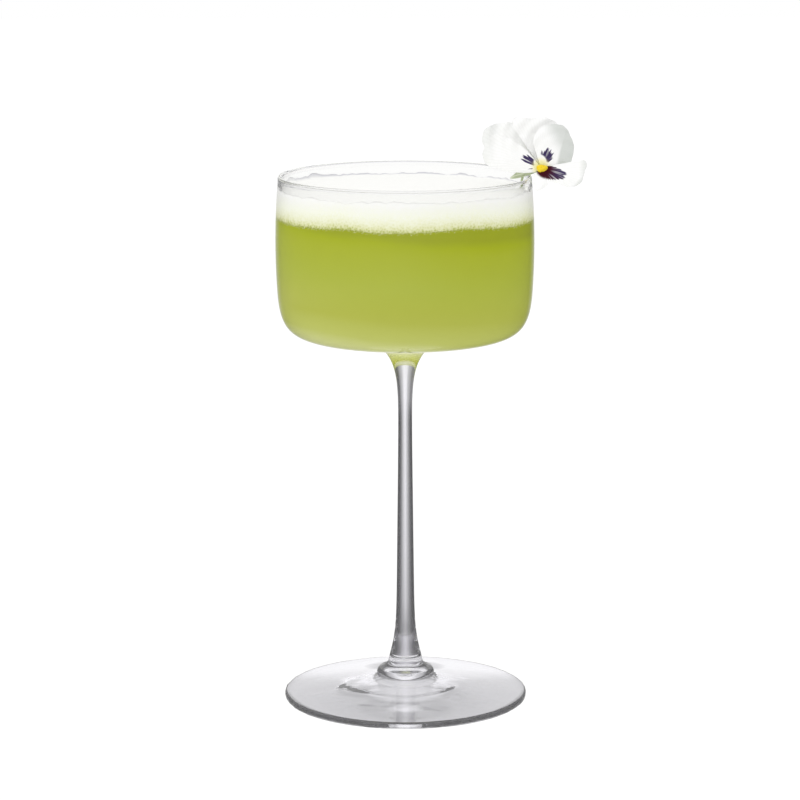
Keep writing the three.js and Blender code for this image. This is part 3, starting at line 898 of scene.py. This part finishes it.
# tips is the way a petal leans, slope how steeply it comes forward that way and bend how it
# curves. shades are painted shade in the folds and creases: a direction, where the shade starts and
# ends along it, how deep. The blotch reaches from blotch_start out to blotch.
petals = {
    "petal_upper_left": {
        "margin": ((166, 15), (158, 19.5), (150, 21), (142, 20.8), (132, 19.2), (122, 16.8), (112, 13)),
        "tips": 140, "slope": -0.2, "bend": -0.003, "layer": -3 * PETAL_SPACING, "ruffle": 0.5,
        "shades": ((32, -2.2, -0.3, 0.15), (150, 16, 20, 0.3)),
    },
    "petal_upper_top": {
        "margin": ((124, 15.5), (119, 17.6), (110, 16.6), (98, 15.8), (84, 15.8), (70, 15), (58, 12)),
        "tips": 95, "slope": -0.12, "bend": 0.002, "layer": -2 * PETAL_SPACING, "ruffle": 0.4,
    },
    "petal_side_left": {
        "margin": (
            (220, 2.4), (207, 3.6), (196, 6.0), (189, 9.2), (183, 13.2), (177, 16.9),
            (171, 18.2), (164, 18.9), (154, 19.2), (145, 17.8), (137, 13), (129, 7),
        ),
        "tips": 165, "slope": 0.04, "bend": -0.004, "layer": -PETAL_SPACING, "ruffle": 0.45,
        "shades": ((170, 14.5, 18.5, 0.25),),
        "blotch": (
            (193, 2.0), (188, 4.4), (183, 2.0), (167, 2.0), (162, 5.2), (158, 7.1),
            (153, 6.0), (146, 7.2), (141, 5.6), (136, 6.1), (132, 3.4), (128, 2.6),
        ),
        "blotch_start": ((193, 2.6), (167, 2.3), (159, 2.1), (134, 3.1), (128, 3.2)), "streaks": 0.7,
    },
    "petal_side_right": {
        "margin": (
            (108, 8), (98, 11), (84, 13.4), (68, 14.6), (55, 14.6),
            (42, 13.3), (29, 12), (17, 10.5), (4, 8.8),
        ),
        "tips": 20, "slope": 0.25, "bend": -0.03, "layer": -PETAL_SPACING, "ruffle": 0.25,
        "shades": ((-12, 4.2, 5.4, 0.85), (30, 6.0, 11.0, 0.75)),
        "blotch": (
            (92, 3.6), (88, 5.8), (82, 4.6), (76, 5.6), (69, 7.0), (64, 5.9),
            (59, 6.5), (54, 5.5), (49, 6.2), (43, 4.9), (37, 4.8), (32, 2.4),
        ),
        "blotch_start": ((92, 4.1), (72, 3.5), (45, 2.5), (32, 2.7)), "streaks": 0.5,
    },
    "petal_lip": {
        "margin": (
            (10, 13.4), (5, 14.2), (-8, 13.7), (-24, 12.9), (-35, 11), (-48, 6.6),
            (-62, 5.6), (-84, 6.6), (-102, 7.6), (-116, 6.0), (-134, 3.2),
        ),
        "tips": -70, "slope": 0.75, "bend": -0.02, "layer": 0.0, "ruffle": 0.3,
        "shades": ((0, 11.6, 14.2, 0.5), (-40, 11, 12.5, 0.6)),
        "blotch": (
            (12, 2.6), (4, 4.0), (-4, 5.6), (-10, 7.2), (-15, 8.6), (-20, 7.7), (-27, 8.3), (-33, 7.1),
            (-42, 6.0), (-54, 4.9), (-66, 4.2), (-84, 3.5), (-104, 2.9), (-125, 2.4), (-142, 2.0),
        ),
        "blotch_start": ((12, 0.6), (-142, 0.6)), "streaks": 0.4, "maroon": True, "throat": 0.0,
    },
}
for name, petal in petals.items():
    put(petal_piece(f"{name}_leaf", petal), name, "garnish")


# Receptacle, sepals and stalk
# The green parts behind the petals: a small boss that carries everything, five pointed
# sepals round it, and a stalk that hooks over the lip and comes down on the foam.

RECEPTACLE_LENGTH = 5.0
RECEPTACLE_FRONT = 0.2
BOSS_STEPS = 16
BOSS_SEGMENTS = 24
SEPAL_LENGTH = 9.4
SEPAL_WIDTH = 1.7
SEPAL_THICKNESS = 0.4
SEPAL_CURL = math.radians(-12)
SEPAL_ROWS = 28
SEPAL_COLUMNS = 12
SEPAL_BEHIND_PETALS = 0.5
SEPAL_LAYER = -3 * PETAL_SPACING - PETAL_ROOM / 2 - CLEARANCE - SEPAL_BEHIND_PETALS
RIB_HALF = 0.25
STALK_RADIUS = 0.55
STALK_INSIDE = 2.6
STALK_TAPER = 0.35
STALK_SEGMENTS = 20

# Fresh green stem tissue: smooth, a little waxy, paler along the ribs, mottled at 1.5 mm.
green_tissue, tree = new_material("green_tissue")
place = add_node(tree, "TexCoord").outputs["Object"]
rib = add_node(tree, "Attribute", attribute_name="vein").outputs["Fac"]
flecks = add_node(tree, "TexNoise", {"Vector": place, "Scale": 1 / (1.5 * MM), "Detail": 3.0}).outputs["Fac"]
green = linear("a5b286")
for share, over in ((flecks, linear("cdd6b6")), (rib, linear("e6ebd2"))):
    green = add_node(tree, "Mix", {"Factor": share, "A": green, "B": over}, data_type="RGBA").outputs["Result"]
ridge = add_node(tree, "Bump", {"Height": flecks, "Strength": 0.2, "Distance": 0.1 * MM})
surface = add_node(
    tree,
    "BsdfPrincipled",
    {"Base Color": green, "Roughness": 0.45, "IOR": 1.4, "Normal": ridge.outputs["Normal"]},
)
add_node(tree, "OutputMaterial", {"Surface": surface.outputs["BSDF"]})


def sepal_piece(name, claw, along, lean, roll, width=SEPAL_WIDTH):
    """A narrow pointed leaf that leans back, with a single raised midrib. claw is the angle
    round the receptacle at which it starts and along the way it points across the face."""
    reach = RECEPTACLE_RADIUS + CLEARANCE + 0.25 * abs(math.sin(math.radians(lean)))
    where = (
        Matrix.Translation(ring_point(reach, math.radians(claw), SEPAL_LAYER))
        @ Matrix.Rotation(math.radians(along) - math.pi / 2, 4, "Z")
        @ Matrix.Rotation(math.radians(lean), 4, "X")
        @ Matrix.Rotation(math.radians(roll), 4, "Y")
    )
    curl_radius = SEPAL_LENGTH / SEPAL_CURL

    def point(row, column, side):
        share = row / SEPAL_ROWS
        across = 2 * column / SEPAL_COLUMNS - 1
        half = width / 2 * max(0.0, math.sin(math.pi * share)) ** 0.9 + 0.5 - 0.3 * share
        turn = SEPAL_CURL * share
        lift = 0.3 * (2 * across * half / width) ** 2
        lift += side * SEPAL_THICKNESS / 2 * (0.3 + 0.7 * min(1.0, 3 * (1 - abs(across)), 8 * (1 - share)))
        run = (curl_radius - lift) * math.sin(turn)
        rise = curl_radius - (curl_radius - lift) * math.cos(turn)
        return where @ Vector((across * half, run, rise)), (hump(across * half, 0.0, RIB_HALF),)

    return sheet(name, SEPAL_ROWS, SEPAL_COLUMNS, point, green_tissue, ("vein",))


# The first sepal stands on edge over the lip, and the lower ones fold back along the stalk.
for name, *lie in (
    ("sepal_1", 225, 190, -18, 50, 3.2),
    ("sepal_2", 110, 110, -20, 0),
    ("sepal_3", 44, 44, -24, 0),
    ("sepal_4", -20, -20, -48, 0),
    ("sepal_5", -82, -82, -64, 0),
):
    put(sepal_piece(f"{name}_leaf", *lie), name, "garnish")


def round_rod(name, path, radii, segments, material):
    """A rod along a path of points, one radius for each, with flat ends."""
    corners, faces = [], []
    aside = Vector((0, 0, 1))
    for k, (at, radius) in enumerate(zip(path, radii)):
        ahead = (path[min(k + 1, len(path) - 1)] - path[max(k - 1, 0)]).normalized()
        across = ahead.cross(aside).normalized()
        up = across.cross(ahead)
        for turn in turns(segments):
            corners.append(at + radius * (math.cos(turn) * across + math.sin(turn) * up))
    for k in range(len(path) - 1):
        for n in range(segments):
            a, b = k * segments + n, k * segments + (n + 1) % segments
            faces.append((a, b, b + segments, a + segments))
    faces.append(tuple(range(segments))[::-1])
    faces.append(tuple(range(len(corners) - segments, len(corners))))
    return mesh_piece(name, corners, faces, [material])


def behind_face(depth):
    """A point on the flower's own axis, behind its face where depth is below 0."""
    return face_turn @ Vector((0, 0, depth))


boss_back = RECEPTACLE_FRONT - RECEPTACLE_LENGTH
boss_path = [behind_face(boss_back + RECEPTACLE_LENGTH * k / BOSS_STEPS) for k in range(BOSS_STEPS + 1)]
# The boss widens from its back and is a little narrower again at its front end.
boss_shares = [min(1.0, 0.7 + 0.06 * k) for k in range(BOSS_STEPS - 1)] + [0.9, 0.9]
boss_radii = [RECEPTACLE_RADIUS * share for share in boss_shares]
receptacle = round_rod("receptacle_boss", boss_path, boss_radii, BOSS_SEGMENTS, green_tissue)
put(receptacle, "receptacle", "garnish")

stalk_start = behind_face(boss_back - CLEARANCE)
stalk_bend = behind_face(boss_back - CLEARANCE - 2 * STALK_RADIUS)
stalk_y = stalk_bend.y + 2 * STALK_RADIUS
over_lip = RIM_TOP + CLEARANCE + STALK_RADIUS
lip_x = math.sqrt((RIM_RADIUS - LIP_WALL / 2) ** 2 - stalk_y**2)
route = smooth_line(
    [
        stalk_start,
        stalk_bend,
        Vector((lip_x + LIP_WALL, stalk_y, over_lip + CLEARANCE)),
        Vector((lip_x - LIP_WALL, stalk_y, over_lip)),
        Vector((lip_x - STALK_INSIDE, stalk_y, FOAM_TOP + 1.5 * CLEARANCE)),
    ],
    14,
)
stalk_radii = [STALK_RADIUS * (1.0 - STALK_TAPER * k / (len(route) - 1)) for k in range(len(route))]
stalk = round_rod("stalk_rod", route, stalk_radii, STALK_SEGMENTS, green_tissue)
put(stalk, "stalk", "garnish")


# Eye
# The viola's throat: a small golden-yellow knob, grainy with pollen, at the middle of the
# petals.

EYE_RADIUS = 1.4
EYE_HEIGHT = 1.3
EYE_RIGHT = 0.3
EYE_UP = -0.4
EYE_RINGS = 16
EYE_SEGMENTS = 40

# Pollen-dusted tissue: strong yellow, matt, with grains about 0.25 mm across.
pollen_yellow, tree = new_material("pollen_yellow")
place = add_node(tree, "TexCoord").outputs["Object"]
grains = add_node(tree, "TexVoronoi", {"Vector": place, "Scale": 1 / (0.25 * MM)}).outputs["Distance"]
gold = add_node(
    tree, "Mix", {"Factor": grains, "A": linear("ffe838"), "B": linear("f4c70e")}, data_type="RGBA"
)
grit = add_node(tree, "Bump", {"Height": grains, "Strength": 0.5, "Distance": 0.1 * MM})
surface = add_node(
    tree,
    "BsdfPrincipled",
    {"Base Color": gold.outputs["Result"], "Roughness": 0.7, "IOR": 1.4, "Normal": grit.outputs["Normal"]},
)
add_node(tree, "OutputMaterial", {"Surface": surface.outputs["BSDF"]})

eye_base = RECEPTACLE_FRONT + CLEARANCE
corners, faces = [behind_face(eye_base)], []
for ring in range(EYE_RINGS):
    tilt = math.pi / 2 * ring / EYE_RINGS
    for turn in turns(EYE_SEGMENTS):
        lobes = 1.08 + 0.18 * math.cos(2 * turn) + 0.08 * math.sin(3 * turn + 1) + 0.05 * math.sin(5 * turn)
        reach = EYE_RADIUS * math.cos(tilt) * lobes
        x, y, rise = ring_point(reach, turn, eye_base + EYE_HEIGHT * math.sin(tilt))
        corners.append(face_turn @ Vector((x + EYE_RIGHT, y + EYE_UP, rise)))
starts = [1 + ring * EYE_SEGMENTS for ring in range(EYE_RINGS)]
close_rings(faces, 0, starts, len(corners), EYE_SEGMENTS)
corners.append(behind_face(eye_base + EYE_HEIGHT))
eye = mesh_piece("flower_eye_knob", corners, faces, [pollen_yellow])
put(eye, "flower_eye", "garnish")


# Studio
# A white table and surround that light the glass evenly, with a soft lamp at the upper left.
# Seen through the glass the white dims to either side, as between a studio's dark cards.

CARD_LEVEL = 0.07


def grey(level):
    return (level, level, level, 1.0)


def bearing_of(tree, direction):
    """The axes of a direction or a place, and its bearing from the stem: 0.5 straight behind it,
    more to the left and less to the right."""
    axes = add_node(tree, "SeparateXYZ", {"Vector": direction}).outputs
    leftward = add_node(tree, "Math", {0: axes["X"], 1: -1.0}, operation="MULTIPLY")
    turn = add_node(tree, "Math", {0: leftward.outputs["Value"], 1: axes["Y"]}, operation="ARCTAN2")
    limits = {"Value": turn.outputs["Value"], "From Min": -math.pi, "From Max": math.pi}
    return axes, add_node(tree, "MapRange", limits).outputs["Result"]


def round_stops(*levels):
    """A colour ramp's stops, from pairs of degrees left of straight behind and a level of grey."""
    return [((degrees + 180) / 360, grey(level)) for degrees, level in levels]


def far_white(tree, bearing):
    """The surround beyond the cards: white behind the glass and dimmer to the sides."""
    stops = round_stops(
        (-180, 0.6), (-120, 0.3), (-35, 0.1), (-14, 0.6), (-5, 1.0),
        (5, 1.0), (14, 0.58), (35, 0.2), (110, 0.45), (180, 0.6),
    )
    return add_node(tree, "ValToRGB", {"Fac": bearing}, stops).outputs["Color"]


def ray_kinds(tree):
    """Whether a ray comes straight from the camera, and whether glass has bent or mirrored it."""
    path = add_node(tree, "LightPath").outputs
    kinds = {0: path["Is Glossy Ray"], 1: path["Is Transmission Ray"]}
    return path["Is Camera Ray"], add_node(tree, "Math", kinds, operation="MAXIMUM").outputs["Value"]


world = bpy.data.worlds.new("white_surround")
bpy.context.scene.world = world
world.use_nodes = True
tree = world.node_tree
tree.nodes.clear()
axes, bearing = bearing_of(tree, add_node(tree, "TexCoord").outputs["Generated"])
to_camera, through_glass = ray_kinds(tree)
# It is a little brighter to the left and above.
from_left = add_node(tree, "MapRange", {"Value": axes["X"], "From Min": -1.0, "To Min": 1.04, "To Max": 0.94})
lifted = add_node(
    tree, "Math", {0: axes["Z"], 1: 0.06, 2: from_left.outputs["Result"]}, operation="MULTIPLY_ADD"
)
soft = add_node(tree, "Background", {"Color": linear("ffffff"), "Strength": lifted.outputs["Value"]})
# High up the surround is dimmer through glass, which draws the lip as a fine grey line.
overhead = add_node(
    tree, "MapRange", {"Value": axes["Z"], "From Min": 0.4, "From Max": 0.75, "To Min": 1.0, "To Max": 0.3}
)
cards = add_node(
    tree, "Background", {"Color": far_white(tree, bearing), "Strength": overhead.outputs["Result"]}
)
plain = add_node(tree, "Background", {"Color": linear("ffffff"), "Strength": 1.0})
glazed = add_node(tree, "MixShader", {0: through_glass, 1: soft.outputs[0], 2: cards.outputs[0]})
shown = add_node(tree, "MixShader", {0: to_camera, 1: glazed.outputs[0], 2: plain.outputs[0]})
add_node(tree, "OutputWorld", {"Surface": shown.outputs[0]})

white_table, tree = new_material("white_table")
place = add_node(tree, "NewGeometry").outputs["Position"]
axes, bearing = bearing_of(tree, place)
to_camera, through_glass = ray_kinds(tree)
away = off_axis(tree, place)
# The strip of white between the cards is narrow, and painted shade dims it close to the glass.
STRIP_REACH = 0.6
STRIP_FADES = (0.43, 0.68)
gap_stops = round_stops(
    (-180, 0.0), (-40, 0.0), (-30, 0.06), (-21, 0.25), (-12, 0.62), (0, 1.0),
    (12, 0.53), (21, 0.23), (30, 0.06), (40, 0.0), (180, 0.0),
)
gap = add_node(tree, "ValToRGB", {"Fac": bearing}, gap_stops)
reach = add_node(tree, "Math", {0: away, 1: STRIP_REACH}, operation="DIVIDE")
strip = add_node(
    tree,
    "ValToRGB",
    {"Fac": reach.outputs["Value"]},
    [
        (0.1, grey(0.44)), (0.137, grey(0.56)), (0.18, grey(0.69)), (0.32, grey(0.84)), (0.48, grey(0.91)),
        (0.66, grey(0.97)), (0.85, grey(1.0)),
    ],
)
between = add_node(
    tree,
    "Mix",
    {"Factor": gap.outputs["Color"], "A": grey(CARD_LEVEL), "B": strip.outputs["Color"]},
    data_type="RGBA",
)
beyond = add_node(
    tree,
    "MapRange",
    {"Value": away, "From Min": STRIP_FADES[0], "From Max": STRIP_FADES[1]},
    interpolation_type="SMOOTHSTEP",
)
around = add_node(
    tree,
    "Mix",
    {"Factor": beyond.outputs["Result"], "A": between.outputs["Result"], "B": far_white(tree, bearing)},
    data_type="RGBA",
)
# Under the foot the table is white behind and a little in painted shade in front. Painted light
# stands for what the stem gathers: bright under the button and in a small spot in front of it, with
# a painted dimmer ring round it.
UNLIT = 0.2
SPOT_PLACE = (0.0, -0.02, 0.0)
SPOT_REACH = 0.02
backlit = add_node(
    tree,
    "MapRange",
    {"Value": axes["Y"], "From Min": 8 * MM, "From Max": 24 * MM, "To Min": 0.47, "To Max": 0.97},
    interpolation_type="SMOOTHSTEP",
)
gathered = add_node(
    tree,
    "MapRange",
    {"Value": away, "From Min": 11 * MM, "From Max": 19 * MM, "To Min": 0.75, "To Max": 0.0},
    interpolation_type="SMOOTHSTEP",
)
brightest = add_node(
    tree, "Math", {0: backlit.outputs["Result"], 1: gathered.outputs["Result"]}, operation="MAXIMUM"
)
from_spot = add_node(tree, "VectorMath", {0: place, 1: SPOT_PLACE}, operation="DISTANCE")
spread = add_node(tree, "Math", {0: from_spot.outputs["Value"], 1: SPOT_REACH}, operation="DIVIDE")
painted_spot = add_node(
    tree,
    "ValToRGB",
    {"Fac": spread.outputs["Value"]},
    [
        (0.0, grey(0.68)), (0.14, grey(0.6)), (0.32, grey(UNLIT)), (0.46, grey(0.17)), (0.62, grey(0.13)),
        (0.8, grey(UNLIT)),
    ],
)
spot_and_ring = add_node(tree, "Math", {0: painted_spot.outputs["Color"], 1: UNLIT}, operation="SUBTRACT")
below = add_node(
    tree, "Math", {0: brightest.outputs["Value"], 1: spot_and_ring.outputs["Value"]}, operation="ADD"
)
# Seen through the stem as well as the foot, the table is painted darker to the sides, most of all
# close to the button: painted shade for light that has crossed the stem. The foot alone mostly
# bends a ray three times or fewer.
FOOT_CROSSINGS = 3.5
weak_stops = round_stops(
    (-180, 0.05), (-60, 0.06), (-34, 0.12), (-22, 0.23), (-13, 0.27), (0, 0.52),
    (13, 0.26), (22, 0.22), (34, 0.11), (60, 0.06), (180, 0.05),
)
weakest_stops = round_stops(
    (-180, 0.0), (-60, 0.0), (-22, 0.02), (-13, 0.12), (-6, 0.34), (0, 0.46),
    (6, 0.34), (13, 0.12), (22, 0.02), (60, 0.0), (180, 0.0),
)
weak = add_node(tree, "ValToRGB", {"Fac": bearing}, weak_stops)
weakest = add_node(tree, "ValToRGB", {"Fac": bearing}, weakest_stops)
off_button = add_node(tree, "MapRange", {"Value": away, "From Min": 22 * MM, "From Max": 34 * MM})
weaker = add_node(
    tree,
    "Mix",
    {"Factor": off_button.outputs["Result"], "A": weakest.outputs["Color"], "B": weak.outputs["Color"]},
    data_type="RGBA",
)
crossings = add_node(tree, "LightPath").outputs["Transmission Depth"]
weakened = add_node(tree, "Math", {0: crossings, 1: FOOT_CROSSINGS}, operation="GREATER_THAN")
crossed = add_node(
    tree,
    "Mix",
    {"Factor": weakened.outputs["Value"], "A": below.outputs["Value"], "B": weaker.outputs["Result"]},
    data_type="RGBA",
)
clear_of_foot = add_node(
    tree,
    "MapRange",
    {"Value": away, "From Min": (FOOT_RADIUS + 0.5) * MM, "From Max": (FOOT_RADIUS + 4) * MM},
    interpolation_type="SMOOTHSTEP",
)
seen = add_node(
    tree,
    "Mix",
    {"Factor": clear_of_foot.outputs["Result"], "A": crossed.outputs["Result"], "B": around.outputs["Result"]},
    data_type="RGBA",
)
# To the camera the table is white with the object's soft shadow on it.
matt = add_node(tree, "BsdfDiffuse", {"Color": linear("f2f2f2")})
catch = add_node(tree, "BsdfDiffuse", {"Color": linear("9e9e9e")})
glow = add_node(tree, "Emission", {"Color": linear("ffffff"), "Strength": 0.7})
lit = add_node(tree, "AddShader", {0: catch.outputs[0], 1: glow.outputs[0]})
bright = add_node(tree, "Emission", {"Color": seen.outputs["Result"], "Strength": 1.0})
glazed = add_node(tree, "MixShader", {0: through_glass, 1: matt.outputs[0], 2: bright.outputs[0]})
shown = add_node(tree, "MixShader", {0: to_camera, 1: glazed.outputs[0], 2: lit.outputs[0]})
add_node(tree, "OutputMaterial", {"Surface": shown.outputs[0]})

# The table lies a hair below the foot's ring.
TABLE_HALF = 3000.0
TABLE_TOP = -0.05
table_corners = [(x * TABLE_HALF, y * TABLE_HALF, TABLE_TOP) for x, y in ((-1, -1), (1, -1), (1, 1), (-1, 1))]
table = mesh_piece("table", table_corners, [(0, 1, 2, 3)], [white_table], smooth=False)

LAMP_SIDE = 0.9
LAMP_WATTS = 0.8
lamp = bpy.data.lights.new("upper_left_softbox", "AREA")
lamp.shape = "RECTANGLE"
lamp.size = LAMP_SIDE
lamp.size_y = LAMP_SIDE
lamp.energy = LAMP_WATTS
softbox = bpy.data.objects.new("upper_left_softbox", lamp)
bpy.context.scene.collection.objects.link(softbox)
softbox.location = (-0.75, -0.45, 1.0)
to_bowl = Vector((0, 0, 0.13)) - softbox.location
softbox.rotation_euler = to_bowl.to_track_quat("-Z", "Y").to_euler()
softbox.visible_glossy = False
softbox.visible_transmission = False

# The camera stands 1 m in front and a little above the bowl, as in the photograph.
PICTURE_PIXELS = 800
FOCAL_PIXELS = 3188
SENSOR_WIDTH = 36.0
CAMERA_DIP = 11.0
CAMERA_ROLL = 0.1
camera = bpy.data.objects.new("camera", bpy.data.cameras.new("camera"))
bpy.context.scene.collection.objects.link(camera)
bpy.context.scene.camera = camera
camera.data.sensor_width = SENSOR_WIDTH
camera.data.lens = FOCAL_PIXELS / PICTURE_PIXELS * SENSOR_WIDTH
camera.location = (-0.0013, -1.001, 0.2923)
camera.rotation_euler = (math.radians(90 - CAMERA_DIP), math.radians(CAMERA_ROLL), 0.0)
camera.data.clip_end = 20.0

bpy.context.scene.view_settings.view_transform = "Standard"
